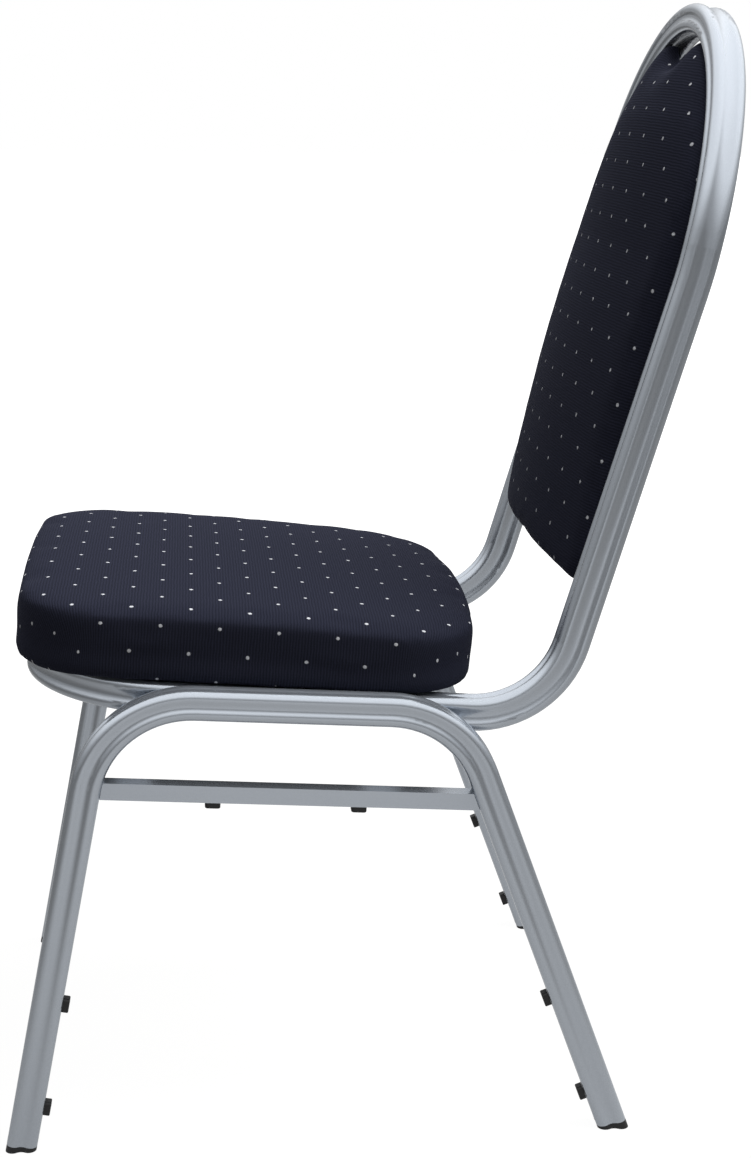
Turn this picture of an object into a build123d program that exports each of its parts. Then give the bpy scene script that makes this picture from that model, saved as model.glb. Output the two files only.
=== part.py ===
"""Stacking chair: a bent and welded tube frame with an upholstered seat and a round-topped back.

Millimetres and degrees. +Z is up, the sitter faces -Y, and +X is the sitter's left.
The origin is on the floor, under the middle of the chair's overall width and depth.
"""

import os
from math import cos, radians, sin, sqrt

from build123d import *

# Fluted tube: four round lobes, with a shallow groove along the middle of each side
lobe_radius = 6.0
groove_depth = 1.8
loop_tube_depth = 27.5
loop_tube_width = 24.0
loop_tube_wall = 1.5
leg_tube_depth = 25.0
leg_tube_width = 24.0
leg_tube_wall = 1.5
weld_gap = 0.2

# Seat and back loop: one tube bent round the seat, up behind it and over the back
feet_middle_y = -43.1
rail_spacing = 362.0
rail_height = 372.7
seat_pitch = 4.3
front_bar_reach = 231.0
front_corner_radius = 110.0
rear_bend_reach = 122.0
rear_bend_radius = 80.0
upright_lean = 16.3
upright_run = 297.0
shoulder_bend_radius = 400.0
arch_lean = 11.9
arch_run = 5.0
drain_hole_diameter = 6.0

# Leg frames: an arched tube on each side, with a stretcher between its legs
foot_spread = 499.0
front_leg_tilt = 10.8
rear_leg_tilt = 20.5
leg_arch_pitch = 3.1
leg_arch_rise = 5.0
leg_bend_radius = 85.0
front_end_tilt = 6.5
rear_end_tilt = 11.5
stretcher_drop = 74.0
stretcher_height = 14.0
stretcher_width = 14.0
stretcher_wall = 1.5

# Foot caps: a wedge between the cut end of each leg and the floor, with a plug in the tube
foot_cap_height = 4.8
foot_plug_length = 18.0
foot_plug_clearance = 0.2

# Stack bumpers: buttons pressed into the legs and the stretchers
bumper_length = 12.5
bumper_width = 10.0
bumper_height = 5.5
bumper_corner = 2.5
bumper_edge = 1.0
bumper_peg_diameter = 5.0
bumper_peg_clearance = 0.2
bumper_peg_grip = 2.0
bumper_seat_gap = 0.1
lower_bumper_reach = 38.5
upper_bumper_reach = 132.5
front_stretcher_bumper_reach = -84.0
rear_stretcher_bumper_reach = 34.0

# Seat cross bars, welded between the rails
cross_bar_width = 30.0
cross_bar_height = 15.0
cross_bar_wall = 1.5
front_cross_bar_reach = -150.0
rear_cross_bar_reach = 70.0

# Seat cushion: foam in a pulled-over cover, on a plywood board with a lining underneath
seat_side_lap = 6.0
seat_front_overhang = 12.0
seat_rear_reach = 133.0
seat_front_bow = 6.0
seat_rear_bow = 8.0
seat_front_corner = 72.0
seat_rear_corner = 75.0
seat_draw_in = 4.0
seat_lower_height = 24.0
seat_height = 64.0
seat_crown_radius = 2800.0
seat_crown_forward = 45.0
seat_shoulder_radius = 8.0
seat_lower_radius = 6.0
seat_rest_gap = 0.3
lining_thickness = 0.6
lining_edge = 20.0
layer_gap = 0.1
seat_board_thickness = 12.0
seat_board_edge = 22.0

# Seat screws, driven up through the cross bars into tee nuts in the board
seat_screw_spacing = 220.0
seat_screw_diameter = 6.0
seat_screw_head_diameter = 12.0
seat_screw_head_height = 3.5
screw_clearance = 0.4
tee_nut_barrel_diameter = 8.0
tee_nut_flange_diameter = 19.0
tee_nut_flange_thickness = 1.5

# Back cushion: foam in a pulled-over cover, on a plywood board
pad_side_gap = 1.5
pad_drop = 288.0
pad_top_reach = 159.0
hand_hole_dip = 20.0
pad_bottom_corner = 26.0
pad_top_corner = 20.0
pad_side_front = 25.0
pad_crown_front = 40.0
pad_long_radius = 1800.0
pad_side_radius = 9.0
pad_board_lap = 1.2
back_board_thickness = 9.0
back_board_edge = 9.0

# Back tabs, welded inside the uprights, and the screws that hold the back board to them
tab_length = 26.0
tab_reach = 34.0
tab_thickness = 3.0
tab_corner = 6.0
lower_tab_drop = 235.0
upper_tab_drop = 60.0
back_screw_inset = 24.0
back_screw_diameter = 4.0
back_screw_head_diameter = 9.0
back_screw_head_height = 2.5
back_screw_grip = 7.0

# Rear panel of the back
panel_side_thickness = 7.0
panel_crown_thickness = 10.0
panel_edge_radius = 2.0

os.makedirs("parts", exist_ok=True)

# Planes and places that several pieces share
pitch = radians(seat_pitch)
lean = radians(upright_lean)
top_lean = radians(arch_lean)
rail_x = rail_spacing / 2
leg_x = rail_x + loop_tube_width / 2 + weld_gap + leg_tube_width / 2
seat_plane = Plane(
    origin=(0, feet_middle_y, rail_height),
    x_dir=(1, 0, 0),
    z_dir=(0, sin(pitch), cos(pitch)),
)
rail_top = seat_plane.offset(loop_tube_depth / 2)
lining_level = seat_rest_gap
cushion_level = lining_level + lining_thickness + layer_gap
board_top_level = cushion_level + seat_board_thickness

# The back's middle line, as (Y, Z): rear bend, upright, shoulder bend and the foot of the arch
bend_start = Vector(
    feet_middle_y + rear_bend_reach * cos(pitch),
    rail_height - rear_bend_reach * sin(pitch),
)
bend_centre = bend_start + Vector(sin(pitch), cos(pitch)) * rear_bend_radius
upright_foot = bend_centre + Vector(cos(lean), -sin(lean)) * rear_bend_radius
upright_head = upright_foot + Vector(sin(lean), cos(lean)) * upright_run
shoulder_centre = upright_head + Vector(-cos(lean), sin(lean)) * shoulder_bend_radius
shoulder_end = shoulder_centre + Vector(cos(top_lean), -sin(top_lean)) * shoulder_bend_radius
arch_foot = shoulder_end + Vector(sin(top_lean), cos(top_lean)) * arch_run
arch_plane = Plane(
    origin=(0, arch_foot.X, arch_foot.Y),
    x_dir=(1, 0, 0),
    z_dir=(0, -cos(top_lean), sin(top_lean)),
)


def flat(point: Vector) -> tuple[float, float]:
    """A point's two coordinates, as a sketch or a line on its own plane takes them."""
    return (point.X, point.Y)


def back_plane(rise: float) -> Plane:
    """Plane square to the back's middle line, a distance above or below the foot of the arch.

    Its local X runs across the chair and its local Y points to the rear.
    """
    below = -rise - arch_run
    bend_length = shoulder_bend_radius * (lean - top_lean)
    if below <= 0:
        angle = top_lean
        point = arch_foot + Vector(sin(angle), cos(angle)) * rise
    elif below <= bend_length:
        angle = top_lean + below / shoulder_bend_radius
        point = shoulder_centre + Vector(cos(angle), -sin(angle)) * shoulder_bend_radius
    else:
        angle = lean
        point = upright_head - Vector(sin(angle), cos(angle)) * (below - bend_length)
    return Plane(origin=(0, point.X, point.Y), x_dir=(1, 0, 0), z_dir=(0, sin(angle), cos(angle)))


def fluted_face(width: float, depth: float, inset: float) -> Sketch:
    """The tube's four-lobed outline as a face, drawn in by inset: arcs that run into each other."""
    lobe = Vector(width / 2 - lobe_radius, depth / 2 - lobe_radius)
    radius = lobe_radius - inset
    top_span = (lobe.X**2 + groove_depth**2) / (2 * groove_depth)
    side_span = (lobe.Y**2 + groove_depth**2) / (2 * groove_depth)
    top = lobe + Vector(-lobe.X, top_span - groove_depth) * (radius / top_span)
    side = lobe + Vector(side_span - groove_depth, -lobe.Y) * (radius / side_span)
    crest = lobe + Vector(1, 1).normalized() * radius
    top_groove = depth / 2 - groove_depth - inset
    side_groove = width / 2 - groove_depth - inset
    with BuildSketch() as section:
        with BuildLine():
            for across in (1, -1):
                for up in (1, -1):
                    ThreePointArc(
                        (across * side.X, up * side.Y),
                        (across * crest.X, up * crest.Y),
                        (across * top.X, up * top.Y),
                    )
            for sign in (1, -1):
                ThreePointArc((top.X, sign * top.Y), (0, sign * top_groove), (-top.X, sign * top.Y))
                ThreePointArc((sign * side.X, side.Y), (sign * side_groove, 0), (sign * side.X, -side.Y))
        make_face()
    return section.sketch


def tube_wall_face(width: float, depth: float, wall: float) -> Sketch:
    """The section of a fluted tube with its bore."""
    with BuildSketch() as section:
        add(fluted_face(width, depth, 0))
        add(fluted_face(width, depth, wall), mode=Mode.SUBTRACT)
    return section.sketch


def write(piece: BuildPart, name: str) -> None:
    """Label a finished piece and write its file."""
    piece.part.label = name
    export_step(piece.part, f"parts/{name}.step")


def write_pair(piece: BuildPart, name: str) -> None:
    """Write a piece of the sitter's left, and its mirror image for the right."""
    write(piece, f"left_{name}")
    with BuildPart() as other:
        mirror(piece.part, about=Plane.YZ)
    write(other, f"right_{name}")


# Seat and back loop


def swept_loop(section: Sketch) -> Part:
    """Sweep a section round the whole loop: half of it in three flat stretches, then mirrored."""
    front_start = seat_plane.from_local_coords(Vector(0, -front_bar_reach, 0))
    rail_end = Vector(rail_x, bend_start.X, bend_start.Y)
    with BuildPart() as loop:
        with BuildLine(seat_plane) as seat_path:
            FilletPolyline(
                (0, -front_bar_reach),
                (rail_x, -front_bar_reach),
                (rail_x, rear_bend_reach),
                radius=front_corner_radius,
            )
        with BuildSketch(Plane(origin=front_start, x_dir=seat_plane.y_dir, z_dir=(1, 0, 0))):
            add(section)
        sweep(path=seat_path.line)
        with BuildLine(Plane.YZ.offset(rail_x)) as side_path:
            JernArc(
                flat(bend_start),
                (cos(pitch), -sin(pitch)),
                rear_bend_radius,
                90 - upright_lean + seat_pitch,
            )
            Line(flat(upright_foot), flat(upright_head))
            JernArc(
                flat(upright_head),
                (sin(lean), cos(lean)),
                shoulder_bend_radius,
                upright_lean - arch_lean,
            )
            Line(flat(shoulder_end), flat(arch_foot))
        with BuildSketch(Plane(origin=rail_end, x_dir=(1, 0, 0), z_dir=seat_plane.y_dir)):
            add(section)
        sweep(path=side_path.line)
        with BuildLine(arch_plane) as arch_path:
            JernArc((rail_x, 0), (0, 1), rail_x, 90)
        arch_start = arch_plane.from_local_coords(Vector(rail_x, 0, 0))
        with BuildSketch(Plane(origin=arch_start, x_dir=(1, 0, 0), z_dir=arch_plane.y_dir)):
            add(section)
        sweep(path=arch_path.line)
        mirror(about=Plane.YZ)
    return loop.part


loop_core = swept_loop(fluted_face(loop_tube_width, loop_tube_depth, -weld_gap))
with BuildPart() as seat_back_tube:
    add(swept_loop(tube_wall_face(loop_tube_width, loop_tube_depth, loop_tube_wall)))
    with BuildSketch(seat_plane):
        with Locations((rail_x, rear_bend_reach), (-rail_x, rear_bend_reach)):
            Circle(drain_hole_diameter / 2)
    extrude(amount=-loop_tube_depth, mode=Mode.SUBTRACT)
write(seat_back_tube, "seat_back_tube")

# Leg frames: the left one is modelled, and the right one is its mirror image
front_tilt = radians(front_leg_tilt)
rear_tilt = radians(rear_leg_tilt)
arch_pitch = radians(leg_arch_pitch)
leg_plane = Plane.YZ.offset(leg_x)
front_foot = Vector(feet_middle_y - foot_spread / 2, 0)
rear_foot = Vector(feet_middle_y + foot_spread / 2, 0)
front_leg_up = Vector(sin(front_tilt), cos(front_tilt))
rear_leg_up = Vector(-sin(rear_tilt), cos(rear_tilt))
arch_middle = Vector(feet_middle_y, rail_height + leg_arch_rise)
arch_along = Vector(cos(arch_pitch), -sin(arch_pitch))
leg_overrun = leg_tube_depth


def crossing(foot: Vector, up: Vector, point: Vector) -> Vector:
    """Where a leg's middle line meets the line through a point along the leg arch."""
    offset = point - foot
    turn = up.X * arch_along.Y - up.Y * arch_along.X
    return foot + up * ((offset.X * arch_along.Y - offset.Y * arch_along.X) / turn)


def swept_leg(section: Sketch) -> Part:
    """Sweep a section along the left leg arch, past the floor at both ends."""
    start = front_foot - front_leg_up * leg_overrun
    end = rear_foot - rear_leg_up * leg_overrun
    with BuildPart() as leg:
        with BuildLine(leg_plane) as path:
            FilletPolyline(
                flat(start),
                flat(crossing(front_foot, front_leg_up, arch_middle)),
                flat(crossing(rear_foot, rear_leg_up, arch_middle)),
                flat(end),
                radius=leg_bend_radius,
            )
        start_plane = Plane(
            origin=(leg_x, start.X, start.Y),
            x_dir=(1, 0, 0),
            z_dir=(0, front_leg_up.X, front_leg_up.Y),
        )
        with BuildSketch(start_plane):
            add(section)
        sweep(path=path.line)
    return leg.part


def end_plane(foot: Vector, up: Vector, tilt: float) -> Plane:
    """The cut across the lower end of a leg, facing up."""
    point = foot + up * (foot_cap_height / up.Y)
    return Plane(origin=(leg_x, point.X, point.Y), x_dir=(1, 0, 0), z_dir=(0, sin(tilt), cos(tilt)))


def bumper_plane(foot: Vector, up: Vector, reach: float, side: int) -> Plane:
    """Where a bumper sits on a leg: on the crest of the lobes, facing the other leg."""
    out = Vector(up.Y, -up.X) * side
    point = foot + up * reach + out * (leg_tube_depth / 2)
    return Plane(origin=(leg_x, point.X, point.Y), x_dir=(1, 0, 0), z_dir=(0, out.X, out.Y))


def foot_cap(foot: Vector, up: Vector, tilt: float) -> BuildPart:
    """A foot cap: the leg's outline carried down to the floor, and a plug up inside the tube."""
    base = foot - up * leg_overrun
    base_plane = Plane(origin=(leg_x, base.X, base.Y), x_dir=(1, 0, 0), z_dir=(0, up.X, up.Y))
    with BuildPart() as cap:
        with BuildSketch(base_plane):
            add(fluted_face(leg_tube_width, leg_tube_depth, 0))
        extrude(amount=2 * leg_overrun)
        split(bisect_by=end_plane(foot, up, tilt), keep=Keep.BOTTOM)
        with BuildSketch(base_plane):
            add(fluted_face(leg_tube_width, leg_tube_depth, leg_tube_wall + foot_plug_clearance))
        extrude(amount=leg_overrun + foot_cap_height + foot_plug_length)
        split(bisect_by=Plane.XY, keep=Keep.TOP)
    return cap


def bumper(seat: Plane, peg_length: float) -> BuildPart:
    """A stack bumper: a rounded button on a seat plane, with a peg that reaches below it."""
    base = seat.offset(bumper_seat_gap)
    with BuildPart() as button:
        with BuildSketch(base):
            RectangleRounded(bumper_width, bumper_length, bumper_corner)
        extrude(amount=bumper_height)
        fillet(button.faces().sort_by(Axis(base.origin, base.z_dir))[-1].edges(), bumper_edge)
        with BuildSketch(base):
            Circle(bumper_peg_diameter / 2)
        extrude(amount=-bumper_seat_gap - peg_length)
    return button


legs = (
    ("front", front_foot, front_leg_up, radians(front_end_tilt), 1),
    ("rear", rear_foot, rear_leg_up, -radians(rear_end_tilt), -1),
)
bumper_reaches = (("lower", lower_bumper_reach), ("upper", upper_bumper_reach))
bumper_hole = bumper_peg_diameter / 2 + bumper_peg_clearance
leg_hole_depth = groove_depth + leg_tube_wall + bumper_peg_grip / 2
leg_core = swept_leg(fluted_face(leg_tube_width, leg_tube_depth, -weld_gap))
with BuildPart() as leg_tube:
    add(swept_leg(tube_wall_face(leg_tube_width, leg_tube_depth, leg_tube_wall)))
    for end, foot, up, tilt, side in legs:
        split(bisect_by=end_plane(foot, up, tilt), keep=Keep.TOP)
        for level, reach in bumper_reaches:
            with BuildSketch(bumper_plane(foot, up, reach, side)):
                Circle(bumper_hole)
            extrude(amount=-leg_hole_depth, mode=Mode.SUBTRACT)
write_pair(leg_tube, "leg_tube")

for end, foot, up, tilt, side in legs:
    write_pair(foot_cap(foot, up, tilt), f"{end}_foot_cap")
    for level, reach in bumper_reaches:
        button = bumper(
            bumper_plane(foot, up, reach, side),
            groove_depth + leg_tube_wall + bumper_peg_grip,
        )
        write_pair(button, f"{end}_leg_{level}_bumper")

# Stretchers, coped to the legs, with a pair of bumpers underneath each
arch_down = Vector(-sin(arch_pitch), -cos(arch_pitch))
stretcher_middle = arch_middle + arch_down * stretcher_drop
stretcher_front = crossing(front_foot, front_leg_up, stretcher_middle)
stretcher_rear = crossing(rear_foot, rear_leg_up, stretcher_middle)
stretcher_bumpers = (
    ("front", front_stretcher_bumper_reach),
    ("rear", rear_stretcher_bumper_reach),
)


def stretcher_bumper_plane(reach: float) -> Plane:
    """Where a bumper sits under the stretcher, facing down."""
    point = stretcher_middle + arch_along * reach + arch_down * (stretcher_height / 2)
    return Plane(
        origin=(leg_x, point.X, point.Y),
        x_dir=(1, 0, 0),
        z_dir=(0, arch_down.X, arch_down.Y),
    )


with BuildPart() as stretcher:
    with BuildSketch(
        Plane(
            origin=(leg_x, stretcher_front.X, stretcher_front.Y),
            x_dir=(1, 0, 0),
            z_dir=(0, arch_along.X, arch_along.Y),
        )
    ):
        Rectangle(stretcher_width, stretcher_height)
        Rectangle(
            stretcher_width - 2 * stretcher_wall,
            stretcher_height - 2 * stretcher_wall,
            mode=Mode.SUBTRACT,
        )
    extrude(amount=(stretcher_rear - stretcher_front).length)
    add(leg_core, mode=Mode.SUBTRACT)
    for end, reach in stretcher_bumpers:
        with BuildSketch(stretcher_bumper_plane(reach)):
            Circle(bumper_hole)
        extrude(amount=-stretcher_wall - bumper_peg_grip / 2, mode=Mode.SUBTRACT)
write_pair(stretcher, "stretcher")
for end, reach in stretcher_bumpers:
    button = bumper(stretcher_bumper_plane(reach), stretcher_wall + bumper_peg_grip)
    write_pair(button, f"{end}_stretcher_bumper")

# Seat cross bars: flat-topped tubes level with the top of the rails
cross_bar_half = rail_x - loop_tube_width / 2 - weld_gap
cross_bars = (("front", front_cross_bar_reach), ("rear", rear_cross_bar_reach))
screw_x = seat_screw_spacing / 2
screw_places = [(x, reach) for end, reach in cross_bars for x in (-screw_x, screw_x)]
screw_hole = seat_screw_diameter / 2 + screw_clearance
for end, reach in cross_bars:
    bar_level = loop_tube_depth / 2 - cross_bar_height / 2
    bar_start = seat_plane.from_local_coords(Vector(-cross_bar_half, reach, bar_level))
    with BuildPart() as cross_bar:
        with BuildSketch(Plane(origin=bar_start, x_dir=seat_plane.y_dir, z_dir=(1, 0, 0))):
            Rectangle(cross_bar_width, cross_bar_height)
            Rectangle(
                cross_bar_width - 2 * cross_bar_wall,
                cross_bar_height - 2 * cross_bar_wall,
                mode=Mode.SUBTRACT,
            )
        extrude(amount=2 * cross_bar_half)
        with BuildSketch(rail_top):
            with Locations((-screw_x, reach), (screw_x, reach)):
                Circle(screw_hole)
        extrude(amount=-cross_bar_height, mode=Mode.SUBTRACT)
    write(cross_bar, f"{end}_cross_bar")

# Seat cushion
seat_half_width = leg_x - leg_tube_width / 2 + seat_side_lap
seat_front_reach = front_bar_reach + loop_tube_width / 2 + seat_front_overhang
nut_bore = seat_screw_diameter / 2 + layer_gap
cushion_base = rail_top.offset(cushion_level)


def seat_outline(draw_in: float) -> Sketch:
    """The cushion's plan, drawn in all round: bowed front and rear edges and rounded corners."""
    half = seat_half_width - draw_in
    front = draw_in - seat_front_reach
    rear = seat_rear_reach - draw_in
    front_side = front + seat_front_bow
    rear_side = rear - seat_rear_bow
    with BuildSketch() as outline:
        with BuildLine():
            ThreePointArc((-half, front_side), (0, front), (half, front_side))
            Line((half, front_side), (half, rear_side))
            ThreePointArc((half, rear_side), (0, rear), (-half, rear_side))
            Line((-half, rear_side), (-half, front_side))
        make_face()
        fillet(outline.vertices().group_by(Axis.Y)[0], seat_front_corner - draw_in)
        fillet(outline.vertices().group_by(Axis.Y)[-1], seat_rear_corner - draw_in)
    return outline.sketch


crown_middle_y = (seat_rear_reach - seat_front_reach) / 2 - seat_crown_forward
crown_centre = cushion_base.from_local_coords(
    Vector(0, crown_middle_y, seat_height - seat_crown_radius)
)
with BuildPart() as seat_cushion:
    for level, draw_in in ((0, seat_draw_in), (seat_lower_height, 0)):
        with BuildSketch(cushion_base.offset(level)):
            add(seat_outline(draw_in))
    loft(ruled=True)
    with BuildSketch(cushion_base.offset(seat_lower_height)):
        add(seat_outline(0))
    extrude(amount=seat_height - seat_lower_height)
    with Locations(crown_centre):
        Sphere(seat_crown_radius, mode=Mode.INTERSECT)
    top_face = seat_cushion.faces().sort_by(Axis(crown_centre, rail_top.z_dir))[-1]
    fillet(top_face.edges(), seat_shoulder_radius)
    base_face = seat_cushion.faces().sort_by(Axis(crown_centre, rail_top.z_dir))[0]
    fillet(base_face.edges(), seat_lower_radius)
    with BuildSketch(cushion_base):
        add(seat_outline(seat_board_edge - layer_gap))
    extrude(amount=seat_board_thickness + layer_gap, mode=Mode.SUBTRACT)
    with BuildSketch(rail_top.offset(board_top_level)):
        with Locations(*screw_places):
            Circle(tee_nut_flange_diameter / 2 + layer_gap)
    extrude(amount=tee_nut_flange_thickness + layer_gap, mode=Mode.SUBTRACT)
write(seat_cushion, "seat_cushion")

with BuildPart() as seat_board:
    with BuildSketch(cushion_base):
        add(seat_outline(seat_board_edge))
        with Locations(*screw_places):
            Circle(tee_nut_barrel_diameter / 2 + layer_gap, mode=Mode.SUBTRACT)
    extrude(amount=seat_board_thickness)
write(seat_board, "seat_board")

with BuildPart() as seat_lining:
    with BuildSketch(rail_top.offset(lining_level)):
        add(seat_outline(lining_edge))
        with Locations(*screw_places):
            Circle(screw_hole, mode=Mode.SUBTRACT)
    extrude(amount=lining_thickness)
write(seat_lining, "seat_lining")

with BuildPart() as seat_tee_nuts:
    with BuildSketch(rail_top.offset(board_top_level)):
        with Locations(*screw_places):
            Circle(tee_nut_flange_diameter / 2)
            Circle(nut_bore, mode=Mode.SUBTRACT)
    extrude(amount=tee_nut_flange_thickness)
    with BuildSketch(rail_top.offset(board_top_level)):
        with Locations(*screw_places):
            Circle(tee_nut_barrel_diameter / 2)
            Circle(nut_bore, mode=Mode.SUBTRACT)
    extrude(amount=-seat_board_thickness)
write(seat_tee_nuts, "seat_tee_nuts")

with BuildPart() as seat_screws:
    with BuildSketch(rail_top.offset(-cross_bar_height)):
        with Locations(*screw_places):
            Circle(seat_screw_head_diameter / 2)
    extrude(amount=-seat_screw_head_height)
    with BuildSketch(rail_top.offset(-cross_bar_height)):
        with Locations(*screw_places):
            Circle(seat_screw_diameter / 2)
    extrude(amount=cross_bar_height + board_top_level)
write(seat_screws, "seat_screws")

# Back, measured rearwards from its middle line: cushion, board, tabs and rear panel
pad_half_width = rail_x - loop_tube_width / 2 - pad_side_gap
tab_front = pad_board_lap + weld_gap
tab_back = tab_front + tab_thickness
panel_front = tab_back + weld_gap
tab_edge = rail_x - loop_tube_width / 2 - tab_reach
back_screw_x = rail_x - loop_tube_width / 2 - back_screw_inset
tab_drops = (("upper", upper_tab_drop), ("lower", lower_tab_drop))


def pad_outline(edge: float) -> Sketch:
    """The pad's outline: straight sides, an arch that follows the tube, and a hand-hole dip."""
    half = pad_half_width - edge
    bottom = edge - pad_drop
    dip_half = sqrt(pad_half_width**2 - pad_top_reach**2)
    dip_radius = (dip_half**2 + hand_hole_dip**2) / (2 * hand_hole_dip)
    dip_middle = pad_top_reach - hand_hole_dip + dip_radius
    with BuildSketch() as outline:
        with Locations((0, bottom / 2)):
            Rectangle(2 * half, -bottom)
        fillet(outline.vertices().group_by(Axis.Y)[0], pad_bottom_corner - edge)
        Circle(half)
        with Locations((0, dip_middle)):
            Circle(dip_radius + edge, mode=Mode.SUBTRACT)
        fillet(outline.vertices().group_by(Axis.Y)[-1], pad_top_corner)
    return outline.sketch


def back_form(edge: float, near: float, far: float, far_crown: float = 0) -> Part:
    """A layer of the back, bent as the uprights are, with its rear face crowned across or flat."""
    half = rail_x
    start = back_plane(-pad_drop)
    path_end = back_plane(pad_top_reach)
    with BuildPart() as form:
        with BuildLine(Plane.YZ) as spine:
            Line((start.origin.Y, start.origin.Z), flat(upright_head))
            JernArc(
                flat(upright_head),
                (sin(lean), cos(lean)),
                shoulder_bend_radius,
                upright_lean - arch_lean,
            )
            Line(flat(shoulder_end), (path_end.origin.Y, path_end.origin.Z))
        with BuildSketch(start):
            with BuildLine():
                Polyline((-half, far), (-half, near), (half, near), (half, far))
                if far_crown:
                    ThreePointArc((half, far), (0, far + far_crown), (-half, far))
                else:
                    Line((half, far), (-half, far))
            make_face()
        sweep(path=spine.line)
        with BuildSketch(arch_plane):
            add(pad_outline(edge))
        extrude(amount=pad_drop, both=True, mode=Mode.INTERSECT)
    return form.part


def rim_edges(piece: BuildPart, facing: int) -> list[Edge]:
    """Edges round the front (facing -1) or the rear (facing 1) of a layer of the back."""
    faces = piece.faces().filter_by(lambda face: face.normal_at().Y * facing > sin(radians(60)))
    return [edge for edge in faces.edges() if sum(edge in face.edges() for face in faces) == 1]


def tab_plane(drop: float) -> Plane:
    """Plane of the back board at a pair of tabs, facing the rear."""
    level = back_plane(-drop)
    return Plane(origin=level.origin, x_dir=(1, 0, 0), z_dir=level.y_dir)


pad_middle = back_plane((pad_top_reach - pad_drop) / 2)
barrel_centre = pad_middle.from_local_coords(Vector(0, pad_long_radius - pad_crown_front, 0))
with BuildPart() as back_cushion:
    with BuildSketch(pad_middle):
        with BuildLine():
            ThreePointArc(
                (-pad_half_width, -pad_side_front),
                (0, -pad_crown_front),
                (pad_half_width, -pad_side_front),
            )
            Polyline(
                (pad_half_width, -pad_side_front),
                (pad_half_width, pad_crown_front),
                (-pad_half_width, pad_crown_front),
                (-pad_half_width, -pad_side_front),
            )
        make_face()
    revolve(axis=Axis(barrel_centre, (1, 0, 0)))
    add(back_form(0, -2 * pad_crown_front, pad_board_lap), mode=Mode.INTERSECT)
    fillet(rim_edges(back_cushion, -1), pad_side_radius)
    add(
        back_form(back_board_edge - layer_gap, -back_board_thickness - layer_gap, tab_front),
        mode=Mode.SUBTRACT,
    )
write(back_cushion, "back_cushion")

with BuildPart() as back_board:
    add(back_form(back_board_edge, -back_board_thickness, pad_board_lap))
    for level, drop in tab_drops:
        with BuildSketch(tab_plane(drop)):
            with Locations((-back_screw_x, 0), (back_screw_x, 0)):
                Circle(back_screw_diameter / 2 + layer_gap)
        extrude(amount=back_screw_grip, both=True, mode=Mode.SUBTRACT)
write(back_board, "back_board")

with BuildPart() as back_rear_panel:
    add(
        back_form(
            0,
            panel_front,
            panel_front + panel_side_thickness,
            panel_crown_thickness - panel_side_thickness,
        )
    )
    fillet(rim_edges(back_rear_panel, 1), panel_edge_radius)
    for level, drop in tab_drops:
        with BuildSketch(tab_plane(drop).offset(tab_back)):
            with Locations((-back_screw_x, 0), (back_screw_x, 0)):
                Circle(back_screw_head_diameter / 2 + screw_clearance)
        extrude(amount=back_screw_head_height + screw_clearance, mode=Mode.SUBTRACT)
write(back_rear_panel, "back_rear_panel")

for level, drop in tab_drops:
    with BuildPart() as tab:
        with BuildSketch(tab_plane(drop).offset(tab_front)) as tab_face:
            with Locations(((tab_edge + rail_x) / 2, 0)):
                Rectangle(rail_x - tab_edge, tab_length)
            fillet(tab_face.vertices().group_by(Axis.X)[0], tab_corner)
            with Locations((back_screw_x, 0)):
                Circle(back_screw_diameter / 2 + screw_clearance, mode=Mode.SUBTRACT)
        extrude(amount=tab_thickness)
        add(loop_core, mode=Mode.SUBTRACT)
    write_pair(tab, f"{level}_back_tab")

with BuildPart() as back_screws:
    for level, drop in tab_drops:
        with BuildSketch(tab_plane(drop).offset(tab_back)):
            with Locations((-back_screw_x, 0), (back_screw_x, 0)):
                Circle(back_screw_head_diameter / 2)
        extrude(amount=back_screw_head_height)
        with BuildSketch(tab_plane(drop).offset(tab_back)):
            with Locations((-back_screw_x, 0), (back_screw_x, 0)):
                Circle(back_screw_diameter / 2)
        extrude(amount=-tab_back - back_screw_grip)
write(back_screws, "back_screws")
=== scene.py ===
"""Looks for a stacking chair: silver-painted fluted tube, pin-dot cushions and black plastic feet.

Metres, +Z up. The sitter faces -Y and +X is the sitter's left, which is the side the camera sees.
"""

import logging
from dataclasses import dataclass
from enum import Enum
from math import cos, hypot, radians, sin
from typing import Optional, Union

import bmesh
import bpy
from mathutils import Matrix, Vector


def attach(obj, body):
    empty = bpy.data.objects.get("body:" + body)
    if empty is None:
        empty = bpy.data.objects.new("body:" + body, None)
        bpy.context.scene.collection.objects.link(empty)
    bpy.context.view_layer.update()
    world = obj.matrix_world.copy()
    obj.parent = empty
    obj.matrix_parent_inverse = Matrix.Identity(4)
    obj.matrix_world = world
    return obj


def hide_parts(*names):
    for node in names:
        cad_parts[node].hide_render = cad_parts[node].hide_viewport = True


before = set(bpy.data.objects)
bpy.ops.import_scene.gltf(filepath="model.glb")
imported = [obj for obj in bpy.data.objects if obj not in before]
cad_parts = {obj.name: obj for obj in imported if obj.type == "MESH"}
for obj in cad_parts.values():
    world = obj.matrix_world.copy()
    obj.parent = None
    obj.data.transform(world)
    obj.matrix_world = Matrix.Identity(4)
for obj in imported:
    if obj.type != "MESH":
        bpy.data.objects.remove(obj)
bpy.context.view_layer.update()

log = logging.getLogger("stacking_chair")

MM = 0.001
CLOTH_MAP = "cloth"
WHITE = (1.0, 1.0, 1.0, 1.0)
# Metres between the bands of a wave texture whose scale is 1.
WAVE_PERIOD = 0.314

Tree = bpy.types.NodeTree
Socket = bpy.types.NodeSocket
Level = Union[float, Socket]
Span = tuple[float, float]


class Slot(Enum):
    """Material slots of the record; no piece made here is given one."""

    FABRIC = "cover_fabric"


class Thread(Enum):
    """Threads of the cloth, with the direction in which a wave texture repeats them."""

    RIB = "Y"
    PICK = "X"


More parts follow.
